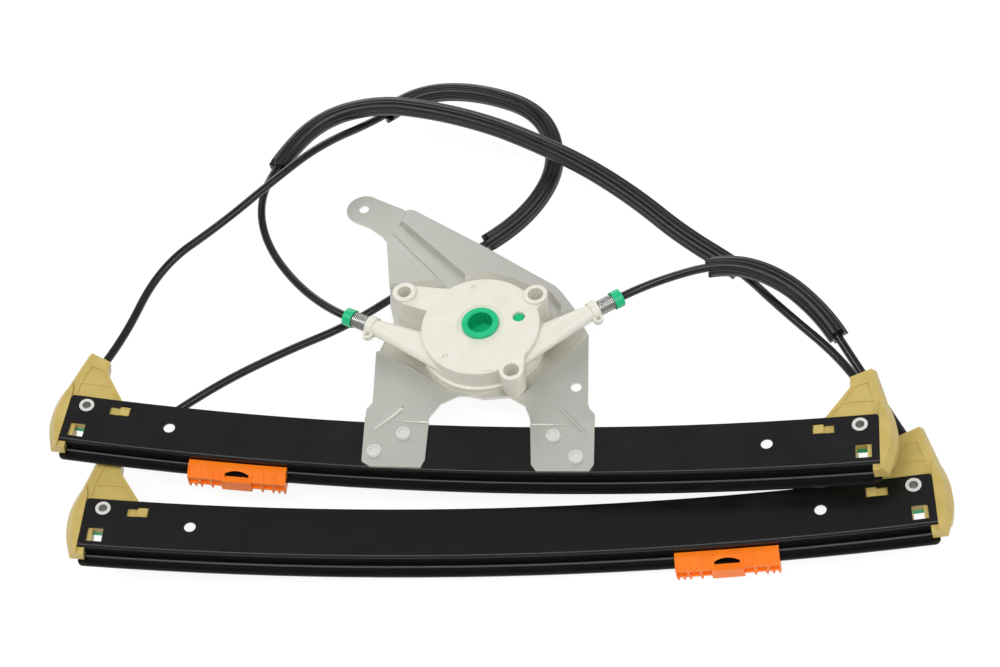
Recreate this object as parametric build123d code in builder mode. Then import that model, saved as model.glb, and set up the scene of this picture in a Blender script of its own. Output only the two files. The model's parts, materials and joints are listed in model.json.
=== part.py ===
"""Two-rail cable window regulator.

The drive axis is Z, with the mouth of the splined drum at the origin. X runs along the rails and
+Y points from the rails towards the drum. All sizes are in millimetres.
"""

import os
from math import cos, degrees, pi, radians, sin, tan

from build123d import *

os.makedirs("parts", exist_ok=True)

# ---------------------------------------------------------------- driving dimensions
SEAT_GAP = 0.05  # between faces that lie on each other
RUN_GAP = 0.05  # between round faces that fit in each other

# rails: a bowed Z section with the web on top, the wall down its front and the flange outwards
BOW = 1290.0  # radius of the web's top face
RAIL_SHEET = 1.2
WEB_HALF = 16.6
WALL_DROP = 10.4  # web's top face down to the flange's top face
FLANGE_OUT = 23.8  # from the web's middle to the flange's outer edge
BEND = 2.0  # outside bend radius
FLANGE_CORNER, WEB_CORNER = 3.6, 2.0
REAR_HALF, FRONT_HALF = 247.1, 252.5  # along the bow, as are all places on a rail
REAR_PLACE = Location((-3.9, -81.5, -20.0), (0, 0.472, 0))
FRONT_PLACE = Location((22.5, -127.2, -39.4), (0, 0.472, 0)) * Location((0, 0, 0), (0, 0, 4.07))
# holes near a rail's end: distance in from the end, then across the web
EYELET = (10.7, 10.0)
WINDOW, WINDOW_SIZE = (8.9, -8.1), (9.2, 9.4)
SLOT, SLOT_SIZE = (31.8, 9.3), (12.6, 7.1)
SLOT_STEP = 1.4  # the slot's outer half is narrower by this at the rear
RAIL_HOLE, RAIL_HOLE_R = (64.5, 0.9), 3.5
EYELET_HOLE_R = 3.3

# cable
ROPE_R = 0.8
ROPE_Y, ROPE_Z = -19.4, -6.6  # where it runs on a rail's section
WINDINGS_Z = (-15.2, -13.3, -11.4, -8.6, -6.7)
LEFT_ROPE_Z, RIGHT_ROPE_Z = WINDINGS_Z[2], WINDINGS_Z[3]

# mounting plate
PLATE_SHEET = 1.5
PLATE_TOP = -17.25
POCKET_DROP = 3.5
PLATE_HOLE_R = 3.4
POCKET_SLOPE = 35.0  # of the pressed walls, degrees from upright
LUG_HOLE, SIDE_HOLE = (-96.2, 112.0), (61.9, -36.2)
LUG_R = 12.0
RIVETS = ((-37.5, 8.6), (-53.6, -5.1), (54.8, 9.5), (70.0, -5.9))  # along and across the rear rail
RIVET_R, RIVET_HEAD_R, RIVET_HEAD, RIVET_TAIL_R = 2.4, 4.9, 1.0, 3.6
RIVET_DIMPLE_R, RIVET_DIMPLE = 2.9, 0.4
PLATE_BEAD, PLATE_BEAD_R = 1.1, 2.4

# drum housing
DISC_R, DISC_TOP, DISC_Y = 37.5, -1.7, -1.0
PARTING = -15.7
BASE_R = 39.5
COVER_WALL, FLOOR_WALL = 2.2, 2.0
CAVITY_R, RELIEF_IN, RELIEF_OUT = 30.0, 31.8, 35.3
BOSSES = ((-51.75, 23.5, 4.4), (32.75, 22.5, 4.9), (23.65, -36.7, 4.9))  # x, y, bore radius
BOSS_R, BOSS_TOP, BOSS_DEPTH, SCREW_R = 7.5, 0.4, 12.0, 2.3
OUTLET_Z = -10.0
LEFT_OUTLET, RIGHT_OUTLET = 156.5, 35.0  # directions of the outlet tubes in degrees
TUBE_R, TUBE_BORE_R, TUBE_END = 5.3, 2.2, 64.0
COLLAR_R, COLLAR_LONG = 6.6, 5.0
TUBE_ROOT, TUBE_ROOT_SIZE = 4.0, (5.6, 13.0)  # where an outlet starts to narrow, half height, half width
SPIGOT_R, SPIGOT_LONG = 3.5, 11.9
BORE_START = 10.0  # distances along an outlet are from where the cable leaves the drum
ROPE_START = 9.5
EAR_R, EAR_HOLE_R, EAR_OUT = 3.2, 1.6, 7.4
SIGHT_HOLE, SIGHT_HOLE_R = (23.6, 6.1), 3.9
DIMPLES, DIMPLE_R, DIMPLE_DEEP = ((-7.5, 29.5), (-19.1, -25.7)), 1.9, 1.5

# drum
PITCH_R = 25.4
HUB_R, HUB_GAP = 11.62, 0.08
DRUM_R, DRUM_FLANGE_R, DRUM_FLANGE = 25.9, 27.6, 1.4
DRUM_TOP, DRUM_FOOT = -4.2, -18.3
SPLINE_ROOT_R, SPLINE_TIP_R, SPLINE_DEEP, SPLINE_TEETH = 8.25, 7.4, 12.0, 26
POST_R, POST_TOP, POST_GAP = 9.42, -14.8, 0.08

# cable tensioners
SPRING_WIRE_R, SPRING_R, SPRING_TURNS = 0.42, 4.65, 9.0
SPRING_IN = 0.5  # how far its end sits in the ferrule's cup at rest
FERRULE_R, FERRULE_LONG = 5.9, 6.2
FERRULE_SOCKET, FERRULE_CUP_R, FERRULE_CUP = 2.0, 5.4, 3.2
FERRULE_GAP = 11.3  # collar to ferrule at rest

# conduits and sleeves
CONDUIT_R = 2.7
SLEEVE_R, SLEEVE_BORE_R = 6.5, 3.0
BEND_SHARE = 0.45  # part of the shorter run that a bend takes up

# end caps, drawn for a right-hand end: x outwards from the rail's end, y across the web
INLET = (-12.6, 47.8)  # mouth of the conduit's socket
INLET_ANGLE = 112.4
INLET_DEEP = 14.4
BARREL_R = 4.2
CABLE_BEND_R = 14.6
CAP_FOOT, CAP_RIM = -11.4, 0.5
CAP_GAP = 0.3  # to the rail's end and wall
RIM_FALL, RIM_SLOPE = 6.0, 31.0  # height of the sloped rim, degrees from upright
GROOVE_R = 1.0
RELIEF_DEEP = 0.6
EYELET_R, EYELET_BORE_R, EYELET_LIP_R, EYELET_LIP = 3.2, 2.6, 4.55, 0.5
# guide insert in the cap, under the bend of the cable
GUIDE_TOP, GUIDE_FOOT = -5.2, -9.0
GUIDE_FRONT, GUIDE_REAR = -8.7, 4.4
GUIDE_STEP = (-6.6, -3.6)  # inwards of the first its front lies at the second
GUIDE_GAP = 0.1

# sliders
SLIDER_LONG = 60.2
REAR_SLIDER_X, FRONT_SLIDER_X = -136.4, 132.1
SLIDER_GAP = 0.3
SLIDER_TOP, SLIDER_FOOT = -4.6, -16.4
SLIDER_OUT, SLIDER_SHOULDER = -27.0, -9.5
SLIDER_TOP_EDGE = -21.0
HOOK_IN = -20.5
BULGE_HALF, BULGE_OUT, BULGE_TOP, BULGE_FOOT = 9.3, -28.3, -8.8, -17.8
SLIDER_WINDOW_HALF, SLIDER_WINDOW_TOP = 7.5, -5.5
PANELS, PANEL_HALF = (0.4, 0.64, 0.88), 0.09  # shares of half the slider's length
PANEL_MARGIN, SLOPE_PANEL_DEEP, FRONT_PANEL_DEEP = 0.12, 0.5, 1.2
FINS = (0.51, 0.73, 0.85, 0.965)  # shares of half the slider's length
FIN_LONG, FIN_DEEP = 3.2, 2.6
FIN_STEPS = ((0.9, 0.4), (0.65, 0.7), (0.4, 1.0))  # half thickness down to a share of its length
NIPPLE_R, NIPPLE_LONG = 1.35, 6.0
NIPPLE_PLACE = SLIDER_WINDOW_HALF + NIPPLE_LONG / 2 + 1.2  # from the slider's middle, to each side


# ---------------------------------------------------------------- helpers
def station(place, x, y=0.0, z=0.0):
    """The place on a rail's web at x along its bow, its Z square to the web."""
    angle = x / BOW
    on_bow = Location((BOW * sin(angle), y, BOW - BOW * cos(angle)), (0, -degrees(angle), 0))
    return place * on_bow * Location((0, 0, z))


def bow_axis(place):
    """The axis of a rail's bow: a turn about it moves a section towards +X."""
    centre = Plane(place * Location((0, 0, BOW)))
    return Axis(centre.origin, -centre.y_dir)


def section_plane(place, x):
    """The plane across a rail at x: its first axis is the rail's Y, its second the web's normal."""
    here = Plane(station(place, x))
    return Plane(here.origin, x_dir=here.y_dir, z_dir=here.x_dir)


def bow_arc(length):
    """Degrees of bow for a length along a rail."""
    return degrees(length / BOW)


def box_between(low, high):
    """A rectangle on the current sketch from one corner to the other."""
    with Locations(((low[0] + high[0]) / 2, (low[1] + high[1]) / 2)):
        Rectangle(high[0] - low[0], high[1] - low[1])


def save(solid, label):
    """Name a finished piece and write it to its own file."""
    solid.label = label
    export_step(solid, f"parts/{label}.step")


# ---------------------------------------------------------------- rails
def rail_profile():
    """The Z section, on a plane whose origin is the middle of the web's top face."""
    wall_rear = RAIL_SHEET - WEB_HALF
    flange_foot = -WALL_DROP - RAIL_SHEET
    front_top, rear_foot = (-WEB_HALF, 0), (wall_rear, flange_foot)
    front_foot, rear_top = (-WEB_HALF, -WALL_DROP), (wall_rear, -RAIL_SHEET)
    with BuildSketch() as profile:
        Polygon(
            (WEB_HALF, 0),
            front_top,
            front_foot,
            (-FLANGE_OUT, -WALL_DROP),
            (-FLANGE_OUT, flange_foot),
            rear_foot,
            rear_top,
            (WEB_HALF, -RAIL_SHEET),
            align=None,
        )
        for corner, radius in (
            (front_top, BEND),
            (rear_foot, BEND),
            (front_foot, BEND - RAIL_SHEET),
            (rear_top, BEND - RAIL_SHEET),
        ):
            fillet(profile.vertices().sort_by_distance((*corner, 0))[0], radius)
    return profile.sketch


def build_rail(place, half, rivets):
    """A bowed rail with the holes near its ends, and the plate's rivet holes where it has them."""
    with BuildPart() as rail:
        with BuildSketch(section_plane(place, -half)):
            add(rail_profile())
        revolve(axis=bow_axis(place), revolution_arc=bow_arc(2 * half))
        for side in (-1, 1):
            for y, radius in ((-FLANGE_OUT, FLANGE_CORNER), (WEB_HALF, WEB_CORNER)):
                depth = -WALL_DROP - RAIL_SHEET / 2 if y < 0 else -RAIL_SHEET / 2
                corner = station(place, side * half, y, depth).position
                fillet(rail.edges().sort_by_distance(corner)[0], radius)
            for (inwards, y), radius in ((EYELET, EYELET_HOLE_R), (RAIL_HOLE, RAIL_HOLE_R)):
                with BuildSketch(Plane(station(place, side * (half - inwards), y, 1))):
                    Circle(radius)
                extrude(amount=-2 * RAIL_SHEET, mode=Mode.SUBTRACT)
            with BuildSketch(Plane(station(place, side * (half - WINDOW[0]), WINDOW[1], 1))):
                Rectangle(*WINDOW_SIZE)
            extrude(amount=-2 * RAIL_SHEET, mode=Mode.SUBTRACT)
            long, wide = SLOT_SIZE
            with BuildSketch(Plane(station(place, side * (half - SLOT[0]), SLOT[1], 1))):
                with Locations((-side * long / 4, 0)):
                    Rectangle(long / 2, wide)
                with Locations((side * long / 4, -SLOT_STEP / 2)):
                    Rectangle(long / 2, wide - SLOT_STEP)
            extrude(amount=-2 * RAIL_SHEET, mode=Mode.SUBTRACT)
        for x, y in rivets:
            with BuildSketch(Plane(station(place, x, y, 1))):
                Circle(RIVET_R + RUN_GAP)
            extrude(amount=-2 * RAIL_SHEET, mode=Mode.SUBTRACT)
    return rail.part


# ---------------------------------------------------------------- end caps
OUT = (cos(radians(INLET_ANGLE)), sin(radians(INLET_ANGLE)))  # way the conduit leaves a cap
CORNER_X = INLET[0] + (ROPE_Y - INLET[1]) * OUT[0] / OUT[1]  # where strand and conduit lines cross
BEND_X = CORNER_X - CABLE_BEND_R * tan(radians(INLET_ANGLE / 2))
BEND_Y = ROPE_Y + CABLE_BEND_R
BEND_END = (BEND_X + CABLE_BEND_R * OUT[1], BEND_Y - CABLE_BEND_R * OUT[0])
BEND_MID = (
    BEND_X + CABLE_BEND_R * sin(radians(INLET_ANGLE / 2)),
    BEND_Y - CABLE_BEND_R * cos(radians(INLET_ANGLE / 2)),
)
SOCKET_END = (INLET[0] - INLET_DEEP * OUT[0], INLET[1] - INLET_DEEP * OUT[1])
GUIDE_R = CABLE_BEND_R - ROPE_R - 0.4
CAP_TOP = -RAIL_SHEET - SEAT_GAP
EYELET_X = -EYELET[0]

CAP_FOOT_FRONT, CAP_FOOT_LOW, CAP_FOOT_IN = -21.0, -8.6, -4.0
CAP_TOWER = [(-16.3, 45.5), (-1.2, 51.3), (5.6, 25.0)]
CAP_SHOULDER = [(5.6, 25.0), (10.0, 3.0), (7.4, -13.0)]
CAP_FOOT_CORNER = (4.6, CAP_FOOT_FRONT)
CAP_INNER = [
    (5.6, -14.4), (-22.0, -14.4), (-41.0, -3.0), (-41.0, 13.8), (-34.5, 13.8), (-31.5, 16.8),
    (-16.3, 38.0),
]  # fmt: skip
CAP_RIM_INNER = [(CAP_GAP, WEB_HALF + 2), (2.4, 27.0), (0.6, 44.0)]
CAP_TAB = [(-37.5, 6.3), (-31.6, 12.2)]
CAP_OPENING = [(-13.2, -12.8), (-6.8, GUIDE_STEP[1])]


def beyond(start, end, reach):
    """A point on the line from start to end, past the end by a distance."""
    way = Vector(*end) - Vector(*start)
    point = Vector(*end) + way.normalized() * reach
    return (point.X, point.Y)


def cap_limit():
    """All the room inside the cap's outer side, which slopes in towards the rim."""
    with BuildPart() as limit:
        with BuildSketch(Plane.XY.offset(CAP_RIM - RIM_FALL)):
            with BuildLine():
                rear = beyond(CAP_SHOULDER[0], CAP_TOWER[1], 25)
                front = beyond(CAP_SHOULDER[2], CAP_FOOT_CORNER, 35)
                inner_rear, inner_front = (-90.0, rear[1]), (-90.0, front[1])
                Polyline(CAP_SHOULDER[0], rear, inner_rear, inner_front, front, CAP_SHOULDER[2])
                ThreePointArc(*reversed(CAP_SHOULDER))
            make_face()
        extrude(amount=RIM_FALL, taper=RIM_SLOPE)
        extrude(limit.faces().sort_by(Axis.Z)[0], amount=2 * RIM_FALL)
    return limit.part


def cap_body():
    """The cap's outline under the web, the foot round the rail's end and the raised rim."""
    with BuildPart() as body:
        with BuildSketch(Plane.XY.offset(CAP_FOOT)):
            with BuildLine():
                Polyline(*CAP_TOWER)
                ThreePointArc(*CAP_SHOULDER)
                Polyline(CAP_SHOULDER[2], *CAP_INNER, CAP_TOWER[0])
            make_face()
        extrude(amount=CAP_TOP - CAP_FOOT)
        with BuildSketch(Plane.XY.offset(CAP_FOOT_LOW)):
            foot_rear = -WEB_HALF - CAP_GAP
            Polygon(
                (CAP_FOOT_IN, CAP_FOOT_FRONT),
                CAP_FOOT_CORNER,
                CAP_SHOULDER[2],
                (CAP_GAP, CAP_SHOULDER[2][1]),
                (CAP_GAP, foot_rear),
                (CAP_FOOT_IN, foot_rear),
                align=None,
            )
        extrude(amount=CAP_TOP - CAP_FOOT_LOW)
        with BuildSketch(Plane.XY.offset(CAP_TOP)):
            with BuildLine():
                Line(CAP_TOWER[1], CAP_TOWER[2])
                ThreePointArc(*CAP_SHOULDER)
                foot_inner = (CAP_GAP, CAP_FOOT_FRONT)
                Polyline(CAP_SHOULDER[2], CAP_FOOT_CORNER, foot_inner, *CAP_RIM_INNER, CAP_TOWER[1])
            make_face()
        extrude(amount=CAP_RIM - CAP_TOP)
        add(cap_limit(), mode=Mode.INTERSECT)
    return body.part


def cap_barrel_plane():
    """The mouth of the conduit's socket, looking the way the conduit leaves."""
    return Plane((*INLET, ROPE_Z), z_dir=(*OUT, 0))


def guide_area(grow):
    """The guide's outline, a segment of a disc with a step in its front, grown by an amount."""
    step_x, step_y = GUIDE_STEP
    with BuildSketch() as area:
        with Locations((BEND_X, BEND_Y)):
            Circle(GUIDE_R + grow)
        with BuildSketch(mode=Mode.INTERSECT):
            box_between((-60, step_y - grow), (60, GUIDE_REAR + grow))
            box_between((step_x - grow, GUIDE_FRONT - grow), (60, step_y))
    return area.sketch


def build_cap():
    """A right-hand end cap: body, conduit socket, cable groove, guide seat, tab and window."""
    with BuildPart() as cap:
        add(cap_body())
        # hollows of the tower on either side of a cross rib
        with BuildSketch(Plane.XY.offset(CAP_TOP - RELIEF_DEEP)):
            Polygon((-27.5, 18.6), (-2.2, 18.6), (-2.6, 27.2), (-21.4, 27.2), align=None)
            Polygon((-20.2, 28.8), (-3.0, 28.8), (-6.0, 40.5), (-13.6, 38.6), align=None)
        extrude(amount=RELIEF_DEEP + 1, mode=Mode.SUBTRACT)
        with BuildSketch(cap_barrel_plane()):
            Circle(BARREL_R)
        extrude(amount=-INLET_DEEP - 6)
        with BuildSketch(cap_barrel_plane()):
            Circle(CONDUIT_R + RUN_GAP)
        extrude(amount=-INLET_DEEP, mode=Mode.SUBTRACT)
        # tab that stands up in the rail's slot
        with BuildSketch(Plane.XY.offset(CAP_TOP)):
            box_between(*CAP_TAB)
        extrude(amount=RAIL_SHEET)
        # seat of the guide insert, open below, and the opening beside it
        with BuildSketch(Plane.XY.offset(CAP_FOOT)):
            add(guide_area(GUIDE_GAP))
        extrude(amount=GUIDE_TOP + GUIDE_GAP - CAP_FOOT, mode=Mode.SUBTRACT)
        with BuildSketch(Plane.XY.offset(CAP_FOOT)):
            box_between(*CAP_OPENING)
        extrude(amount=CAP_TOP - CAP_FOOT, mode=Mode.SUBTRACT)
        with BuildSketch(Plane.XY.offset(CAP_FOOT)):
            with Locations((EYELET_X, EYELET[1])):
                Circle(EYELET_HOLE_R)
        extrude(amount=CAP_TOP - CAP_FOOT, mode=Mode.SUBTRACT)
        # groove that leads the cable round the rail's end
        with BuildLine(Plane.XY.offset(ROPE_Z)) as groove:
            Line((BEND_X, ROPE_Y), (BEND_X + 0.01, ROPE_Y))
            ThreePointArc((BEND_X + 0.01, ROPE_Y), BEND_MID, BEND_END)
            Line(BEND_END, SOCKET_END)
        with BuildSketch(Plane((BEND_X, ROPE_Y, ROPE_Z), z_dir=(1, 0, 0))):
            Circle(GROOVE_R)
        sweep(path=groove.line, mode=Mode.SUBTRACT)
    return cap.part


def build_guide():
    """A right-hand guide insert: the segment of a disc that the cable bears on."""
    with BuildPart() as guide:
        with BuildSketch(Plane.XY.offset(GUIDE_FOOT)):
            add(guide_area(0))
        extrude(amount=GUIDE_TOP - GUIDE_FOOT)
    return guide.part


def build_eyelet():
    """A hollow rivet through a rail's web and its cap, with a rolled lip at each end."""
    web_lip, cap_lip = SEAT_GAP, CAP_FOOT - SEAT_GAP
    with BuildPart() as eyelet:
        with BuildSketch(Plane.XY.offset(cap_lip - EYELET_LIP)):
            with Locations((EYELET_X, EYELET[1])):
                Circle(EYELET_R)
        extrude(amount=web_lip - cap_lip + 2 * EYELET_LIP)
        with BuildSketch(Plane.XY.offset(web_lip), Plane.XY.offset(cap_lip - EYELET_LIP)):
            with Locations((EYELET_X, EYELET[1])):
                Circle(EYELET_LIP_R)
        extrude(amount=EYELET_LIP)
        with BuildSketch(Plane.XY.offset(cap_lip - EYELET_LIP)):
            with Locations((EYELET_X, EYELET[1])):
                Circle(EYELET_BORE_R)
        extrude(amount=web_lip - cap_lip + 2 * EYELET_LIP, mode=Mode.SUBTRACT)
    return eyelet.part


def end_place(place, half, side):
    """Where a cap's own frame lies: level with the web where the cable starts its bend."""
    return station(place, side * (half + BEND_X)) * Location((-side * BEND_X, 0, 0))


def at_end(piece, place, half, side):
    """A right-hand piece set on a rail's end, mirrored for a left end."""
    handed = piece if side > 0 else piece.mirror(Plane.YZ)
    return handed.moved(end_place(place, half, side))


def cap_point(place, half, side, x, y, z=ROPE_Z):
    """A point of a cap's own frame, in the part's frame."""
    return (end_place(place, half, side) * Location((side * x, y, z))).position


# ---------------------------------------------------------------- cable strands on the rails
def build_rail_strand(place, half):
    """The cable from socket to socket: round the left cap, along the rail, round the right cap."""
    bend = (SOCKET_END, BEND_END, BEND_MID, (BEND_X, ROPE_Y))
    left = [cap_point(place, half, -1, *point) for point in bend]
    right = [cap_point(place, half, 1, *point) for point in reversed(bend)]
    middle = station(place, 0, ROPE_Y, ROPE_Z).position
    with BuildPart() as strand:
        with BuildLine() as path:
            Line(left[0], left[1])
            ThreePointArc(left[1], left[2], left[3])
            ThreePointArc(left[3], middle, right[0])
            ThreePointArc(right[0], right[1], right[2])
            Line(right[2], right[3])
        with BuildSketch(Plane(path.line @ 0, z_dir=path.line % 0)):
            Circle(ROPE_R)
        sweep(path=path.line)
    return strand.part


# ---------------------------------------------------------------- mounting plate
PLATE_OUTLINE = [
    (-67.9, 108.9), (-60.3, 108.3), (-11.3, 78.2), (41.8, 43.5), (46.8, 37.8), (55.5, 25.1),
    (66.2, 6.2), (70.2, -48.3), (71.3, -52.0), (75.0, -56.3), (77.2, -92.6), (74.7, -97.5),
    (42.8, -97.5), (39.4, -92.9), (36.8, -66.6), (35.4, -59.4), (31.5, -50.7), (20.3, -43.8),
    (-10.6, -44.2), (-20.9, -50.4), (-26.9, -60.9), (-27.0, -74.0), (-25.5, -91.3),
    (-27.4, -97.0), (-58.5, -97.7), (-63.9, -94.5), (-67.2, -55.9), (-64.0, -50.6),
    (-67.8, -12.4), (-66.8, -8.4), (-61.0, 15.5), (-65.3, 28.4), (-67.3, 41.6), (-74.7, 78.7),
]  # fmt: skip
PLATE_LUG = [
    (-72.0, 77.0), (-79.7, 87.9), (-89.8, 95.7), (-101.6, 101.0), (-96.2, 112.0),
    (-89.0, 121.5), (-68.9, 112.0), (-64.0, 108.0), (-60.0, 96.0),
]  # fmt: skip
POCKET = [
    (-90.0, 41.6), (-67.3, 41.6), (-46.6, 44.3), (-28.5, 46.1), (-15.9, 50.4), (-3.1, 52.1),
    (10.4, 48.1), (24.0, 41.7), (37.3, 36.9), (44.5, 26.5), (44.5, 19.0), (90.0, 30.0),
    (90.0, 13.0), (65.1, 7.0), (51.7, -11.1), (27.4, -40.4), (5.4, -43.1), (-17.6, -37.6),
    (-42.6, -20.5), (-66.8, -8.4), (-90.0, -8.4),
]  # fmt: skip
CHANNEL = [
    (-66.6, 112.0), (-69.7, 98.0), (-16.9, 47.9), (-26.8, 42.0), (-72.7, 91.0), (-75.9, 83.4),
    (-112.0, 96.0), (-112.0, 128.0), (-70.0, 124.0),
]  # fmt: skip
LEG_REAR = -62.2  # rear end of the curved feet
LEGS = (
    [(-67.0, -60.0), (-63.9, -94.5), (-58.5, -97.7), (-27.4, -97.0), (-25.5, -91.3), (-26.9, -60.0)],
    [(75.2, -60.0), (77.2, -92.6), (74.7, -97.5), (42.8, -97.5), (39.4, -92.9), (35.6, -60.0)],
)
BEADS = ((-53.0, -62.4, 47.4), (61.7, -61.4, -45.7))  # middle and direction
BEAD_LONG = 22.0


def plate_feet():
    """The two feet, bowed like the web that they lie on."""
    half = 85.0
    with BuildPart() as feet:
        with BuildSketch(section_plane(REAR_PLACE, -half)):
            leg_rear = LEG_REAR - REAR_PLACE.position.Y
            box_between((-WEB_HALF, SEAT_GAP), (leg_rear, SEAT_GAP + PLATE_SHEET))
        revolve(axis=bow_axis(REAR_PLACE), revolution_arc=bow_arc(2 * half))
        with BuildSketch(Plane.XY.offset(PLATE_TOP - 10)):
            for leg in LEGS:
                Polygon(*leg, align=None)
        extrude(amount=20, mode=Mode.INTERSECT)
        for x, y in RIVETS:
            with BuildSketch(Plane(station(REAR_PLACE, x, y, -1))):
                Circle(RIVET_R + RUN_GAP)
            extrude(amount=2 + 2 * PLATE_SHEET, mode=Mode.SUBTRACT)
    return feet.part


def low_area(grow):
    """The area of the plate that lies lower, grown all round by an amount."""
    with BuildSketch() as area:
        Polygon(*POCKET, align=None)
        Polygon(*CHANNEL, align=None)
        if grow:
            offset(amount=grow, kind=Kind.INTERSECTION)
    return area.sketch


def plate_outline():
    """The pressed part of the plate: body and lug."""
    with BuildSketch() as outline:
        Polygon(*PLATE_OUTLINE, align=None)
        Polygon(*PLATE_LUG, align=None)
        with Locations(LUG_HOLE):
            Circle(LUG_R)
    return outline.sketch


def build_plate():
    """The pressed plate: a pocket for the drum housing, a channel, a lug and two feet."""
    low_foot = PLATE_TOP - POCKET_DROP - PLATE_SHEET
    slope = radians(POCKET_SLOPE)
    with BuildPart() as plate:
        # underside of the pocket, with its sloped walls
        with BuildSketch(Plane.XY.offset(low_foot)):
            add(low_area(PLATE_SHEET * (1 / cos(slope) - tan(slope))))
        extrude(amount=PLATE_TOP - low_foot, taper=-POCKET_SLOPE)
        with BuildSketch(Plane.XY.offset(low_foot)):
            add(plate_outline())
        extrude(amount=PLATE_TOP - low_foot, mode=Mode.INTERSECT)
        with BuildSketch(Plane.XY.offset(PLATE_TOP - PLATE_SHEET)):
            add(plate_outline())
        extrude(amount=PLATE_SHEET)
        with BuildSketch(Plane.XY.offset(PLATE_TOP - POCKET_DROP)):
            add(low_area(0))
        extrude(amount=POCKET_DROP, taper=-POCKET_SLOPE, mode=Mode.SUBTRACT)
        # room for the feet
        foot_rear = REAR_PLACE.position.Y + WEB_HALF + 0.9
        with BuildSketch(Plane.XY.offset(low_foot)):
            box_between((-100, foot_rear - 60), (100, foot_rear))
        extrude(amount=PLATE_TOP - low_foot, mode=Mode.SUBTRACT)
        add(plate_feet())
        with BuildSketch(Plane.XY.offset(PLATE_TOP - PLATE_SHEET / 2)):
            for x, y, angle in BEADS:
                with Locations((x, y)):
                    SlotCenterToCenter(BEAD_LONG, 2 * PLATE_BEAD_R, rotation=angle)
        extrude(amount=PLATE_SHEET / 2 + PLATE_BEAD, taper=40)
        with BuildSketch(Plane.XY.offset(low_foot)):
            with Locations(LUG_HOLE, SIDE_HOLE):
                Circle(PLATE_HOLE_R)
            with Locations(*[(x, y) for x, y, _ in BOSSES]):
                Circle(SCREW_R)
        extrude(amount=2 * POCKET_DROP, mode=Mode.SUBTRACT)
    return plate.part


def build_rivets():
    """The four rivets that hold the plate's feet on the rear rail."""
    top = SEAT_GAP + PLATE_SHEET + SEAT_GAP
    foot = -RAIL_SHEET - SEAT_GAP
    with BuildPart() as rivets:
        for x, y in RIVETS:
            with BuildSketch(Plane(station(REAR_PLACE, x, y, foot - RIVET_HEAD))):
                Circle(RIVET_R)
            extrude(amount=top - foot + RIVET_HEAD)
            with BuildSketch(Plane(station(REAR_PLACE, x, y, foot))):
                Circle(RIVET_TAIL_R)
            extrude(amount=-RIVET_HEAD)
            with BuildSketch(Plane(station(REAR_PLACE, x, y, top))):
                Circle(RIVET_HEAD_R)
            extrude(amount=RIVET_HEAD, taper=35)
            with BuildSketch(Plane(station(REAR_PLACE, x, y, top + RIVET_HEAD - RIVET_DIMPLE))):
                Circle(RIVET_DIMPLE_R)
            extrude(amount=RIVET_DIMPLE, mode=Mode.SUBTRACT)
    return rivets.part


# ---------------------------------------------------------------- drum housing
def outlet_plane(angle, along=0.0, z=OUTLET_Z):
    """The plane across an outlet: its normal is the way the cable leaves, its first axis is up."""
    way = (cos(radians(angle)), sin(radians(angle)), 0)
    turn = 1 if angle < 90 else -1
    leave = (turn * PITCH_R * way[1], -turn * PITCH_R * way[0], z)
    return Plane(leave, x_dir=(0, 0, 1), z_dir=way).offset(along)


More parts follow.
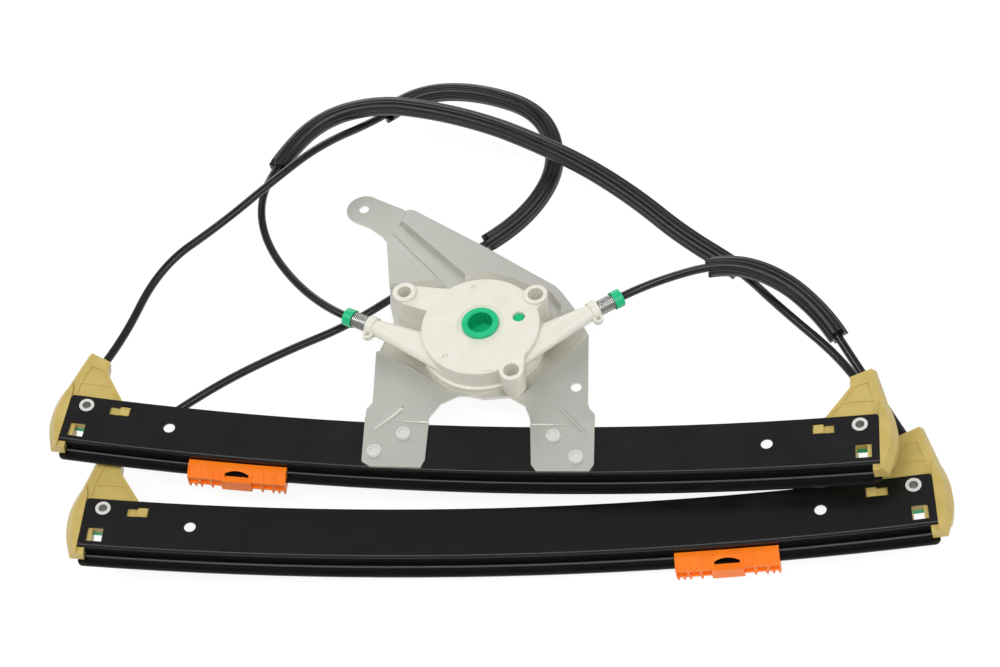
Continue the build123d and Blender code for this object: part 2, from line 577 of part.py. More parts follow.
def build_cover():
    """The housing's cover: disc, screw bosses, outlet tubes with collars and spring spigots."""
    with BuildPart() as cover:
        with BuildSketch(Plane.XY.offset(PARTING)):
            with Locations((0, DISC_Y)):
                Circle(DISC_R)
        extrude(amount=DISC_TOP - PARTING)
        fillet(cover.edges().group_by(Axis.Z)[-1], 1.2)
        with BuildSketch(Plane.XY.offset(PARTING)):
            Circle(RELIEF_OUT)
            Circle(RELIEF_IN, mode=Mode.SUBTRACT)
        extrude(amount=DISC_TOP - PARTING - COVER_WALL, mode=Mode.SUBTRACT)
        # screw bosses and the arms that carry them
        with BuildSketch(Plane.XY.offset(PARTING)):
            with Locations(*[(x, y) for x, y, _ in BOSSES]):
                Circle(BOSS_R)
        extrude(amount=BOSS_TOP - PARTING)
        with BuildSketch(Plane.XY.offset(PARTING)):
            Polygon((-53.8, 16.3), (-30.0, 8.0), (-18.0, 27.0), (-48.0, 30.0), align=None)
            Polygon((27.0, 27.5), (37.5, 16.5), (30.0, 8.0), (16.0, 26.0), align=None)
            Polygon((16.2, -36.7), (31.0, -36.7), (30.0, -20.0), (12.0, -28.0), align=None)
            with BuildSketch(mode=Mode.SUBTRACT):
                Circle(RELIEF_IN)
        extrude(amount=DISC_TOP - PARTING)
        for angle in (LEFT_OUTLET, RIGHT_OUTLET):
            with BuildSketch(outlet_plane(angle, TUBE_ROOT)):
                Ellipse(*TUBE_ROOT_SIZE)
            with BuildSketch(outlet_plane(angle, TUBE_END)):
                Circle(TUBE_R)
            loft()
            with BuildSketch(outlet_plane(angle, TUBE_END)):
                Circle(COLLAR_R)
            extrude(amount=COLLAR_LONG)
            with BuildSketch(outlet_plane(angle, TUBE_END + COLLAR_LONG)):
                Circle(SPIGOT_R)
            extrude(amount=SPIGOT_LONG)
        # ear on the rear of each collar
        for angle in (LEFT_OUTLET, RIGHT_OUTLET):
            ear = outlet_plane(angle, TUBE_END + EAR_HOLE_R)
            side = 1 if angle < 90 else -1
            centre = ear.origin + ear.y_dir * (side * EAR_OUT)
            with BuildSketch(Plane((centre.X, centre.Y, OUTLET_Z - 1.5))):
                Circle(EAR_R)
            extrude(amount=3)
            with BuildSketch(Plane((centre.X, centre.Y, OUTLET_Z - 2))):
                Circle(EAR_HOLE_R)
            extrude(amount=4, mode=Mode.SUBTRACT)
        # hollows
        with BuildSketch(Plane.XY.offset(PARTING)):
            Circle(CAVITY_R)
        extrude(amount=DISC_TOP - PARTING - COVER_WALL, mode=Mode.SUBTRACT)
        for angle in (LEFT_OUTLET, RIGHT_OUTLET):
            with BuildSketch(outlet_plane(angle, BORE_START)):
                Circle(TUBE_BORE_R)
            extrude(amount=100, mode=Mode.SUBTRACT)
        with BuildSketch(Plane.XY.offset(PARTING)):
            Circle(HUB_R + HUB_GAP)
            with Locations(SIGHT_HOLE):
                Circle(SIGHT_HOLE_R)
            with Locations(*[(x, y) for x, y, _ in BOSSES]):
                Circle(SCREW_R)
        extrude(amount=BOSS_TOP - PARTING, mode=Mode.SUBTRACT)
        for x, y, radius in BOSSES:
            with BuildSketch(Plane.XY.offset(BOSS_TOP - BOSS_DEPTH)):
                with Locations((x, y)):
                    Circle(radius)
            extrude(amount=BOSS_DEPTH, mode=Mode.SUBTRACT)
        # marks in the top face: a ring about the hub, two dimples and a notch in the front edge
        with BuildSketch(Plane.XY.offset(DISC_TOP - 0.6)):
            Circle(14.8)
            Circle(HUB_R + HUB_GAP, mode=Mode.SUBTRACT)
            box_between((4.4, -42.0), (12.5, -35.6))
        extrude(amount=1, mode=Mode.SUBTRACT)
        with BuildSketch(Plane.XY.offset(DISC_TOP - DIMPLE_DEEP)):
            with Locations(*DIMPLES):
                Circle(DIMPLE_R)
        extrude(amount=DIMPLE_DEEP, mode=Mode.SUBTRACT)
    return cover.part


def build_base():
    """The housing's base: a tray in the plate's pocket with the drum's post and screw pads."""
    foot = PLATE_TOP - POCKET_DROP + SEAT_GAP
    top = PARTING - SEAT_GAP
    with BuildPart() as base:
        with BuildSketch(Plane.XY.offset(foot)):
            with Locations((0, DISC_Y)):
                Circle(BASE_R)
            with Locations(*[(x, y) for x, y, _ in BOSSES[:2]]):
                Circle(BOSS_R)
            Polygon((-54.2, 16.4), (-30.0, 8.0), (-18.0, 27.0), (-49.5, 30.6), align=None)
        extrude(amount=top - foot)
        with BuildSketch(Plane.XY.offset(PLATE_TOP + SEAT_GAP)):
            with Locations(BOSSES[2][:2]):
                Circle(BOSS_R)
        extrude(amount=top - PLATE_TOP - SEAT_GAP)
        with BuildSketch(Plane.XY.offset(foot + FLOOR_WALL)):
            Circle(CAVITY_R)
        extrude(amount=top - foot, mode=Mode.SUBTRACT)
        with BuildSketch(Plane.XY.offset(foot)):
            Circle(POST_R)
        extrude(amount=POST_TOP - foot)
        with BuildSketch(Plane.XY.offset(foot)):
            with Locations(*[(x, y) for x, y, _ in BOSSES]):
                Circle(SCREW_R)
        extrude(amount=top - foot + 1, mode=Mode.SUBTRACT)
    return base.part


# ---------------------------------------------------------------- drum
def spline_outline():
    """The toothed outline of the drum's socket."""
    points = []
    pitch = 360 / SPLINE_TEETH
    for tooth in range(SPLINE_TEETH):
        for radius, shares in ((SPLINE_ROOT_R, (-0.32, 0.12)), (SPLINE_TIP_R, (0.3, 0.5))):
            angles = [radians((tooth + share) * pitch) for share in shares]
            points += [(radius * cos(angle), radius * sin(angle)) for angle in angles]
    return points


def build_drum():
    """The cable drum with its grooves, its splined hub and the recess that turns on the post."""
    with BuildPart() as drum:
        with BuildSketch(Plane.XY.offset(DRUM_FOOT)):
            Circle(DRUM_R)
        extrude(amount=DRUM_TOP - DRUM_FOOT)
        with BuildSketch(Plane.XY.offset(DRUM_FOOT), Plane.XY.offset(DRUM_TOP - DRUM_FLANGE)):
            Circle(DRUM_FLANGE_R)
        extrude(amount=DRUM_FLANGE)
        with BuildSketch(Plane.XY.offset(DRUM_TOP)):
            Circle(HUB_R)
        extrude(amount=-DRUM_TOP)
        for z in WINDINGS_Z:
            with BuildSketch(Plane.XZ):
                with Locations((PITCH_R, z)):
                    Circle(ROPE_R + RUN_GAP)
            revolve(axis=Axis.Z, mode=Mode.SUBTRACT)
        with BuildSketch(Plane.XY):
            Polygon(*spline_outline(), align=None)
        extrude(amount=-SPLINE_DEEP, mode=Mode.SUBTRACT)
        with BuildSketch(Plane.XY.offset(DRUM_FOOT)):
            Circle(POST_R + POST_GAP)
        extrude(amount=POST_TOP + POST_GAP - DRUM_FOOT, mode=Mode.SUBTRACT)
    return drum.part


def build_windings():
    """The turns of cable in the drum's grooves."""
    with BuildPart() as windings:
        for z in WINDINGS_Z:
            with BuildSketch(Plane.XZ):
                with Locations((PITCH_R, z)):
                    Circle(ROPE_R)
            revolve(axis=Axis.Z)
    return windings.part


# ---------------------------------------------------------------- cable tensioners
FERRULE_START = TUBE_END + COLLAR_LONG + FERRULE_GAP
CONDUIT_START = FERRULE_START + FERRULE_LONG - FERRULE_SOCKET


def build_outlet_strand(angle, drum_z):
    """The cable from the drum through an outlet to the end of the conduit."""
    start = outlet_plane(angle, ROPE_START, drum_z).origin
    middle = outlet_plane(angle, TUBE_END).origin
    end = outlet_plane(angle, CONDUIT_START - SEAT_GAP).origin
    with BuildPart() as strand:
        with BuildLine() as path:
            FilletPolyline(start, middle, end, radius=100)
        with BuildSketch(Plane(path.line @ 0, z_dir=path.line % 0)):
            Circle(ROPE_R)
        sweep(path=path.line)
    return strand.part


def build_spring(angle):
    """A compression spring on an outlet's spigot."""
    pitch = (FERRULE_GAP + SPRING_IN - SEAT_GAP - 2 * SPRING_WIRE_R) / SPRING_TURNS
    start = outlet_plane(angle, TUBE_END + COLLAR_LONG + SEAT_GAP + SPRING_WIRE_R)
    with BuildPart() as spring:
        with BuildLine() as coil:
            Helix(pitch, pitch * SPRING_TURNS, SPRING_R, center=start.origin, direction=start.z_dir)
        with BuildSketch(Plane(coil.line @ 0, z_dir=coil.line % 0)):
            Circle(SPRING_WIRE_R)
        sweep(path=coil.line, is_frenet=True)
    return spring.part


def build_ferrule(angle):
    """The cup that slides over the spring's end and takes the conduit's end."""
    with BuildPart() as ferrule:
        with BuildSketch(outlet_plane(angle, FERRULE_START)):
            Circle(FERRULE_R)
        extrude(amount=FERRULE_LONG)
        fillet(ferrule.edges().filter_by(GeomType.CIRCLE), 0.3)
        with BuildSketch(outlet_plane(angle, FERRULE_START)):
            Circle(FERRULE_CUP_R)
        extrude(amount=FERRULE_CUP, mode=Mode.SUBTRACT)
        with BuildSketch(outlet_plane(angle, FERRULE_START)):
            Circle(ROPE_R + 0.3)
        extrude(amount=FERRULE_LONG, mode=Mode.SUBTRACT)
        with BuildSketch(outlet_plane(angle, CONDUIT_START)):
            Circle(CONDUIT_R + RUN_GAP)
        extrude(amount=FERRULE_SOCKET, mode=Mode.SUBTRACT)
    return ferrule.part


# ---------------------------------------------------------------- conduits and sleeves
def outlet_lead(angle, length):
    """The conduit's first two control points at an outlet."""
    return [outlet_plane(angle, CONDUIT_START + step).origin for step in (0, length)]


def cap_lead(place, half, side, length):
    """The conduit's first two control points at a cap."""
    reach = [(SOCKET_END[0] + OUT[0] * step, SOCKET_END[1] + OUT[1] * step) for step in (0.05, length)]
    return [cap_point(place, half, side, *point) for point in reach]


LEFT_ROUTE = [
    *outlet_lead(LEFT_OUTLET, 25.5),
    (-150.6, 62.8, -9.4), (-166.4, 104.1, -7.1), (-160.4, 144.9, -9.7), (-135.4, 179.9, -2.8),
    (-94.0, 186.9, 4.9), (-52.6, 178.7, 6.3), (-12.0, 164.7, 6.5), (22.3, 144.3, 9.7),
    (57.8, 122.2, 10.2), (92.2, 98.6, 4.8), (122.7, 71.2, 0.2), (159.7, 51.1, -10.1),
    (183.3, 16.7, -2.0),
    *reversed(cap_lead(REAR_PLACE, REAR_HALF, 1, 24.4)),
]  # fmt: skip
RIGHT_ROUTE = [
    *outlet_lead(RIGHT_OUTLET, 21.1),
    (149.9, 41.9, 9.8), (183.4, 30.2, 10.6), (211.2, 12.1, -4.5), (229.0, -16.8, -12.6),
    *reversed(cap_lead(FRONT_PLACE, FRONT_HALF, 1, 25.9)),
]  # fmt: skip
CROSS_ROUTE = [
    *cap_lead(REAR_PLACE, REAR_HALF, -1, 29.1),
    (-219.4, 41.7, 1.0), (-182.6, 76.1, 5.5), (-154.1, 111.9, 7.8), (-128.5, 149.4, 3.7),
    (-97.8, 188.9, -13.5), (-70.6, 214.8, -12.5), (-28.1, 213.4, -10.1), (20.2, 189.7, -7.2),
    (36.5, 145.9, -11.7), (18.1, 105.6, -19.9), (-21.6, 77.5, -29.0), (-59.1, 47.1, -27.2),
    (-92.7, 15.4, -25.7), (-129.3, -8.9, -21.7), (-169.8, -39.1, -19.4),
    *reversed(cap_lead(FRONT_PLACE, FRONT_HALF, -1, 33.9)),
]  # fmt: skip


def bend_radii(route):
    """The radius of each bend of a route, from the shorter of its two runs."""
    points = [Vector(point) for point in route]
    radii = []
    for before, corner, after in zip(points, points[1:], points[2:]):
        shorter = min((corner - before).length, (after - corner).length)
        half_turn = radians((corner - before).get_angle(after - corner) / 2)
        radii.append(BEND_SHARE * shorter / tan(half_turn))
    return radii


def route_line(route, radii):
    """A route's straight runs and tangent bends."""
    with BuildLine() as line:
        FilletPolyline(*[Vector(point) for point in route], radius=radii)
    return line.wire()


def build_conduit(route, name):
    """A conduit along its route; prints the bends, the length and the volume's error."""
    radii = bend_radii(route)
    line = route_line(route, radii)
    with BuildPart() as conduit:
        with BuildSketch(Plane(line @ 0, z_dir=line % 0)):
            Circle(CONDUIT_R)
        sweep(path=line)
    ratio = conduit.part.volume / (pi * CONDUIT_R**2 * line.length)
    print(name, "bend radii", [round(radius, 1) for radius in radii])
    print(name, "length", round(line.length, 1), "volume ratio", round(ratio, 4))
    return conduit.part


def build_sleeve(route, first, last):
    """A tube over a conduit, from the middle of one of its runs to the middle of another."""
    points = [Vector(point) for point in route]
    start = (points[first] + points[first + 1]) / 2
    end = (points[last] + points[last + 1]) / 2
    line = route_line([start, *points[first + 1 : last + 1], end], bend_radii(route)[first:last])
    with BuildPart() as sleeve:
        with BuildSketch(Plane(line @ 0, z_dir=line % 0)):
            Circle(SLEEVE_R)
            Circle(SLEEVE_BORE_R, mode=Mode.SUBTRACT)
        sweep(path=line)
    return sleeve.part


# ---------------------------------------------------------------- sliders
def bowed_piece(place, x, half, outline):
    """An outline of the section swept along the rail's bow by half to each side of x."""
    with BuildPart() as piece:
        with BuildSketch(section_plane(place, x - half)):
            Polygon(*outline, align=None)
        revolve(axis=bow_axis(place), revolution_arc=bow_arc(2 * half))
    return piece.part


def block(low, high):
    """The outline of a rectangle of the section between two corners."""
    return [low, (high[0], low[1]), high, (low[0], high[1])]


def bowed_rod(place, x, length, radius):
    """A round rod on the cable's line, centred at x."""
    with BuildPart() as rod:
        with BuildSketch(section_plane(place, x - length / 2)):
            with Locations((ROPE_Y, ROPE_Z)):
                Circle(radius)
        revolve(axis=bow_axis(place), revolution_arc=bow_arc(length))
    return rod.part


SLIDER_REAR = -WEB_HALF - 2 * SLIDER_GAP
HOOK_SLOT_TOP = -WALL_DROP + SLIDER_GAP
HOOK_SLOT_FOOT = -WALL_DROP - RAIL_SHEET - SLIDER_GAP
HOOK_SLOT_END = -FLANGE_OUT - SLIDER_GAP
SLIDER_SECTION = [
    (SLIDER_REAR, SLIDER_TOP),
    (SLIDER_TOP_EDGE, SLIDER_TOP),
    (SLIDER_OUT, SLIDER_SHOULDER),
    (SLIDER_OUT, SLIDER_FOOT),
    (HOOK_IN, SLIDER_FOOT),
    (HOOK_IN, HOOK_SLOT_FOOT),
    (HOOK_SLOT_END, HOOK_SLOT_FOOT),
    (HOOK_SLOT_END, HOOK_SLOT_TOP),
    (SLIDER_REAR, HOOK_SLOT_TOP),
]


def slope_panel():
    """The section of a shallow hollow in the slider's sloped face."""
    top, foot = Vector(SLIDER_TOP_EDGE, SLIDER_TOP), Vector(SLIDER_OUT, SLIDER_SHOULDER)
    way = foot - top
    inwards = Vector(-way.Y, way.X).normalized() * SLOPE_PANEL_DEEP
    first, last = top + way * PANEL_MARGIN, foot - way * PANEL_MARGIN
    corners = (first - inwards, last - inwards, last + inwards, first + inwards)
    return [(corner.X, corner.Y) for corner in corners]


def slider_window(place, x):
    """The room of the window: an arched opening in the slope that goes down to the flange."""
    here = Plane(station(place, x, BULGE_OUT - 1))
    half, top, foot = SLIDER_WINDOW_HALF, SLIDER_WINDOW_TOP, BULGE_TOP
    with BuildPart() as window:
        with BuildSketch(Plane(here.origin, x_dir=-here.x_dir, z_dir=here.y_dir)):
            with BuildLine():
                Polyline((half, top - 1.3), (half, foot), (-half, foot), (-half, top - 1.3))
                ThreePointArc((-half, top - 1.3), (0, top), (half, top - 1.3))
            make_face()
        extrude(amount=SLIDER_REAR - BULGE_OUT + 2)
        low, high = (HOOK_SLOT_END, HOOK_SLOT_TOP - 0.5), (SLIDER_REAR + 0.5, top - 1.3)
        add(bowed_piece(place, x, half, block(low, high)))
    return window.part


def build_slider(place, x):
    """A slider: hooked body, glass clip bulge, ribbed panels, window and fins."""
    half = SLIDER_LONG / 2
    bulge_low, bulge_high = (BULGE_OUT, BULGE_FOOT), (SLIDER_OUT + 1, BULGE_TOP)
    under_low, under_high = (SLIDER_OUT, BULGE_FOOT), (HOOK_IN, SLIDER_FOOT + 0.5)
    front_low = (SLIDER_OUT - 1, SLIDER_FOOT + 1.2)
    front_high = (SLIDER_OUT + FRONT_PANEL_DEEP, SLIDER_SHOULDER - 1.0)
    with BuildPart() as slider:
        add(bowed_piece(place, x, half, SLIDER_SECTION))
        add(bowed_piece(place, x, BULGE_HALF, block(bulge_low, bulge_high)))
        add(bowed_piece(place, x, BULGE_HALF, block(under_low, under_high)))
        add(slider_window(place, x), mode=Mode.SUBTRACT)
        for side in (-1, 1):
            # hollows between the ribs, in the slope and in the front
            for share in PANELS:
                middle = x + side * share * half
                for outline in (slope_panel(), block(front_low, front_high)):
                    panel = bowed_piece(place, middle, PANEL_HALF * half, outline)
                    add(panel, mode=Mode.SUBTRACT)
            # pointed fins under the front edge
            for share in FINS:
                middle = x + side * share * half
                for thick, long in FIN_STEPS:
                    low = (SLIDER_OUT, SLIDER_FOOT - FIN_LONG * long)
                    fin = block(low, (SLIDER_OUT + FIN_DEEP, SLIDER_FOOT + 0.5))
                    add(bowed_piece(place, middle, thick, fin))
            pocket = bowed_rod(place, x + side * NIPPLE_PLACE, NIPPLE_LONG, NIPPLE_R + RUN_GAP)
            add(pocket, mode=Mode.SUBTRACT)
        add(bowed_rod(place, x, SLIDER_LONG + 1, GROOVE_R), mode=Mode.SUBTRACT)
    return slider.part


def build_nipples(place, x):
    """The two nipples by which the cable pulls a slider."""
    with BuildPart() as nipples:
        for side in (-1, 1):
            middle = x + side * NIPPLE_PLACE
            add(bowed_rod(place, middle, NIPPLE_LONG - 2 * RUN_GAP, NIPPLE_R))
            bore = bowed_rod(place, middle, NIPPLE_LONG + 1, ROPE_R + RUN_GAP)
            add(bore, mode=Mode.SUBTRACT)
    return nipples.part


# ---------------------------------------------------------------- all pieces
ENDS = (
    ("rear_left", REAR_PLACE, REAR_HALF, -1),
    ("rear_right", REAR_PLACE, REAR_HALF, 1),
    ("front_left", FRONT_PLACE, FRONT_HALF, -1),
    ("front_right", FRONT_PLACE, FRONT_HALF, 1),
)


def save_ends():
    """Write the caps, their guide inserts and the group of eyelets."""
    cap, guide, eyelet = build_cap(), build_guide(), build_eyelet()
    with BuildPart() as eyelets:
        for name, place, half, side in ENDS:
            save(at_end(cap, place, half, side), f"{name}_end_cap")
            save(at_end(guide, place, half, side), f"{name}_cable_guide")
            add(at_end(eyelet, place, half, side))
    save(eyelets.part, "end_eyelets")


def save_all():
    """Write every piece."""
    save(build_rail(REAR_PLACE, REAR_HALF, RIVETS), "rear_rail")
    save(build_rail(FRONT_PLACE, FRONT_HALF, ()), "front_rail")
    save_ends()
    save(build_rail_strand(REAR_PLACE, REAR_HALF), "rear_rail_rope")
    save(build_rail_strand(FRONT_PLACE, FRONT_HALF), "front_rail_rope")
    save(build_plate(), "mounting_plate")
    save(build_rivets(), "plate_rivets")
    save(build_cover(), "housing_cover")
    save(build_base(), "housing_base")
    save(build_drum(), "cable_drum")
    save(build_windings(), "wound_rope")
    for name, angle, drum_z in (
        ("left", LEFT_OUTLET, LEFT_ROPE_Z),
        ("right", RIGHT_OUTLET, RIGHT_ROPE_Z),
    ):
        save(build_outlet_strand(angle, drum_z), f"{name}_outlet_rope")
        save(build_spring(angle), f"{name}_spring")
        save(build_ferrule(angle), f"{name}_ferrule")
    for name, route, first, last in (
        ("left", LEFT_ROUTE, 3, 13),
        ("right", RIGHT_ROUTE, 1, 4),
        ("cross", CROSS_ROUTE, 6, 11),
    ):
        save(build_conduit(route, f"{name} conduit"), f"{name}_conduit")
        save(build_sleeve(route, first, last), f"{name}_sleeve")
    for name, place, x in (
        ("rear", REAR_PLACE, REAR_SLIDER_X),
        ("front", FRONT_PLACE, FRONT_SLIDER_X),
    ):
        save(build_slider(place, x), f"{name}_slider")
        save(build_nipples(place, x), f"{name}_nipples")


save_all()
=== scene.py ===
"""Looks of the window regulator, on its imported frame."""
import json
from math import pi

import bpy
import numpy as np
from mathutils import Matrix, Vector


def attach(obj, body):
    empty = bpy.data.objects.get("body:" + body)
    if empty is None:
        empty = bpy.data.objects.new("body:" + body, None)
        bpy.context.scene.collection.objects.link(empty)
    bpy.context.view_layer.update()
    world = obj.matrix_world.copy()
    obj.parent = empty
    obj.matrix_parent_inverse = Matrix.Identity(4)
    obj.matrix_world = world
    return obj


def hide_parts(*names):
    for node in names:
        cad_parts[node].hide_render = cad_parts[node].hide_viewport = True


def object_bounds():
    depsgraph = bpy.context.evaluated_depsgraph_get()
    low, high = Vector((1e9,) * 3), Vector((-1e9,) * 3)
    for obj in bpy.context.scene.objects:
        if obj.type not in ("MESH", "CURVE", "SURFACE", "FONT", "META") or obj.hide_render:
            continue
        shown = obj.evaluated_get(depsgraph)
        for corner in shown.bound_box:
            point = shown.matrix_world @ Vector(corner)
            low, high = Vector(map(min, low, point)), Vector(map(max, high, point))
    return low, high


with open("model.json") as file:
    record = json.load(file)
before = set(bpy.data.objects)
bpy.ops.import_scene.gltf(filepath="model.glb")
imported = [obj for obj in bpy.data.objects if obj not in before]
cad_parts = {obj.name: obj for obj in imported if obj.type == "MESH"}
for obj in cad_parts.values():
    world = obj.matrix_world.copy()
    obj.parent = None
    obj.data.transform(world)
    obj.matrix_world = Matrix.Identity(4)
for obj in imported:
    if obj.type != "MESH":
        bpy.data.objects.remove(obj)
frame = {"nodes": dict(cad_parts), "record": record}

cad_box = [list(corner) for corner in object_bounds()]

# ---------------------------------------------------------------- camera
# Fitted to the two rails in the photograph; the three axes are the camera's own.
CAMERA_AT = Vector((0.19101, -0.6536, 0.8451))
CAMERA_RIGHT = Vector((0.986293, 0.109463, -0.123466))
CAMERA_UP = Vector((-0.011962, 0.793730, 0.608152))
CAMERA_BACK = Vector((0.164568, -0.598340, 0.784160))
LENS_MM, SENSOR_MM = 62.619, 36.0
CLIP_NEAR, CLIP_FAR = 0.05, 20.0


def add_camera():
    """The photograph's own viewpoint."""
    data = bpy.data.cameras.new("camera")
    data.lens = LENS_MM
    data.sensor_width = SENSOR_MM
    data.clip_start, data.clip_end = CLIP_NEAR, CLIP_FAR
    camera = bpy.data.objects.new("camera", data)
    bpy.context.collection.objects.link(camera)
    axes = Matrix((CAMERA_RIGHT, CAMERA_UP, CAMERA_BACK)).transposed().to_4x4()
    camera.matrix_world = Matrix.Translation(CAMERA_AT) @ axes
    bpy.context.scene.camera = camera


# ---------------------------------------------------------------- cords
CONDUIT_R = 0.0027
SPLINE_ORDER, SPLINE_STEPS, BEVEL_STEPS = 3, 24, 6
LEFT_ROUTE = [
    (-0.08762, 0.01040, -0.01000), (-0.11100, 0.02057, -0.01000), (-0.15060, 0.06280, -0.00940),
    (-0.16640, 0.10410, -0.00710), (-0.16040, 0.14490, -0.00970), (-0.13540, 0.17990, -0.00280),
    (-0.09400, 0.18690, 0.00490), (-0.05260, 0.17870, 0.00630), (-0.01200, 0.16470, 0.00650),
    (0.02230, 0.14430, 0.00970), (0.05780, 0.12220, 0.01020), (0.09220, 0.09860, 0.00480),
    (0.12270, 0.07120, 0.00020), (0.15970, 0.05110, -0.01010), (0.18330, 0.01670, -0.00200),
    (0.22690, -0.02445, -0.00785), (0.23603, -0.04697, -0.00621),
]
RIGHT_ROUTE = [
    (0.08379, 0.02766, -0.01000), (0.10107, 0.03976, -0.01000), (0.14990, 0.04190, 0.00980),
    (0.18340, 0.03020, 0.01060), (0.21120, 0.01210, -0.00450), (0.22900, -0.01680, -0.01260),
    (0.25334, -0.05220, -0.02638), (0.26470, -0.07536, -0.02461),
]
CROSS_ROUTE = [
    (-0.24357, -0.04697, -0.00226), (-0.23271, -0.02011, -0.00440), (-0.21940, 0.04170, 0.00100),
    (-0.18260, 0.07610, 0.00550), (-0.15410, 0.11190, 0.00780), (-0.12850, 0.14940, 0.00370),
    (-0.09780, 0.18890, -0.01350), (-0.07060, 0.21480, -0.01250), (-0.02810, 0.21340, -0.01010),
    (0.02020, 0.18970, -0.00720), (0.03650, 0.14590, -0.01170), (0.01810, 0.10560, -0.01990),
    (-0.02160, 0.07750, -0.02900), (-0.05910, 0.04710, -0.02720), (-0.09270, 0.01540, -0.02570),
    (-0.12930, -0.00890, -0.02170), (-0.16980, -0.03910, -0.01940), (-0.21394, -0.07804, -0.02311),
    (-0.22433, -0.11015, -0.02058),
]
# conduit, its route, its sleeve, the shares of the route that the sleeve covers, length in metres
CORDS = [
    ("left_conduit", LEFT_ROUTE, "left_sleeve", (0.244, 0.812), 0.6684),
    ("right_conduit", RIGHT_ROUTE, "right_sleeve", (0.255, 0.64), 0.2486),
    ("cross_conduit", CROSS_ROUTE, "cross_sleeve", (0.352, 0.643), 0.8340),
]


def cord_curve(name, route, bevel):
    """A smooth NURBS spline on the route's control points."""
    data = bpy.data.curves.new(name, "CURVE")
    data.dimensions = "3D"
    data.resolution_u = SPLINE_STEPS
    data.bevel_depth = bevel
    data.bevel_resolution = BEVEL_STEPS
    data.use_fill_caps = bevel > 0
    spline = data.splines.new("NURBS")
    spline.points.add(len(route) - 1)
    spline.points.foreach_set("co", [c for point in route for c in (*point, 1.0)])
    spline.order_u = SPLINE_ORDER
    spline.use_endpoint_u = True
    curve = bpy.data.objects.new(name, data)
    bpy.context.collection.objects.link(curve)
    return curve


def spline_points(name, route):
    """The points of a route's NURBS spline, in order."""
    bare = cord_curve(name + "_line", route, 0.0)
    bpy.context.view_layer.update()
    mesh = bpy.data.meshes.new_from_object(bare)
    points = np.empty(len(mesh.vertices) * 3)
    mesh.vertices.foreach_get("co", points)
    bpy.data.objects.remove(bare)
    bpy.data.meshes.remove(mesh)
    return points.reshape(-1, 3)


# ---------------------------------------------------------------- meshes
def add_mesh(name, vertices, faces, smooth=True):
    """A new object at the origin from arrays of vertices and faces."""
    mesh = bpy.data.meshes.new(name)
    vertices = np.asarray(vertices, float).tolist()
    mesh.from_pydata(vertices, [], np.asarray(faces, int).tolist())
    mesh.polygons.foreach_set("use_smooth", [smooth] * len(mesh.polygons))
    mesh.update()
    piece = bpy.data.objects.new(name, mesh)
    bpy.context.collection.objects.link(piece)
    return piece


def ring_faces(rows, around):
    """Quads between rows of a closed ring of points."""
    row, col = np.meshgrid(np.arange(rows - 1), np.arange(around), indexing="ij")
    here, ahead = row * around, (row + 1) * around
    turn = (col + 1) % around
    return np.stack([here + col, here + turn, ahead + turn, ahead + col], -1).reshape(-1, 4)


def carried_frames(line):
    """Tangent, side and top at each point of a line, turned as little as possible along it."""
    tangent = np.gradient(line, axis=0)
    tangent /= np.linalg.norm(tangent, axis=1)[:, None]
    side = np.cross(tangent[0], (0.0, 0.0, 1.0))
    sides = []
    for way in tangent:
        side = side - way * side.dot(way)
        side = side / np.linalg.norm(side)
        sides.append(side)
    sides = np.array(sides)
    return tangent, sides, np.cross(sides, tangent)


# ---------------------------------------------------------------- shaders
class Value:
    """A shader value that can be written in sums; each operator adds one Math node."""

    def __init__(self, shader, socket):
        self.shader, self.socket = shader, socket

    def math(self, operation, other):
        return self.shader.node("ShaderNodeMath", "Value", {"operation": operation}, self, other)

    def __add__(self, other):
        return self.math("ADD", other)

    def __mul__(self, other):
        return self.math("MULTIPLY", other)


class Shader:
    """A material with one Principled shader."""

    def __init__(self, name, **settings):
        self.material = bpy.data.materials.new(name)
        self.material.use_nodes = True
        self.tree = self.material.node_tree
        self.surface = self.tree.nodes["Principled BSDF"]
        for key, value in settings.items():
            self.surface.inputs[key.replace("_", " ")].default_value = value

    def node(self, kind, output, attributes, *inputs, **named):
        """A node with its inputs linked or set, in order or by name; gives one output."""
        made = self.tree.nodes.new(kind)
        for key, value in attributes.items():
            setattr(made, key, value)
        by_name = ((key.replace("_", " "), value) for key, value in named.items())
        for key, value in [*enumerate(inputs), *by_name]:
            if isinstance(value, Value):
                self.tree.links.new(value.socket, made.inputs[key])
            else:
                made.inputs[key].default_value = value
        return Value(self, made.outputs[output])

    def place(self):
        """The piece's own coordinates, in metres."""
        return self.node("ShaderNodeTexCoord", "Object", {})

    def noise(self, size, detail=3.0):
        """Cloudy noise whose features are about size metres across."""
        return self.node(
            "ShaderNodeTexNoise", "Fac", {}, Vector=self.place(), Scale=1.0 / size, Detail=detail)

    def spread(self, value, old, new):
        """A value's range mapped to another range."""
        return self.node("ShaderNodeMapRange", "Result", {}, value, *old, *new)

    def colors(self, value, *stops):
        """A colour ramp over a value."""
        made = self.node("ShaderNodeValToRGB", "Color", {}, value)
        elements = made.socket.node.color_ramp.elements
        for index, (position, color) in enumerate(stops):
            stop = elements[index] if index < 2 else elements.new(position)
            stop.position, stop.color = position, (*color, 1.0)
        return made

    def feed(self, name, value):
        """Links a value to an input of the Principled shader."""
        self.tree.links.new(value.socket, self.surface.inputs[name])

    def bump(self, height, depth):
        """Relief whose full height is depth metres."""
        self.feed("Normal", self.node("ShaderNodeBump", "Normal", {}, Height=height, Distance=depth))


NOISE_MIDDLE = (0.3, 0.7)  # where nearly all values of a noise lie
FINE = 0.00001  # metres of relief that only softens a gleam
SIDE_SHADE_TONE = 0.45  # of a steel top's colour, painted on its sides and bores as shade
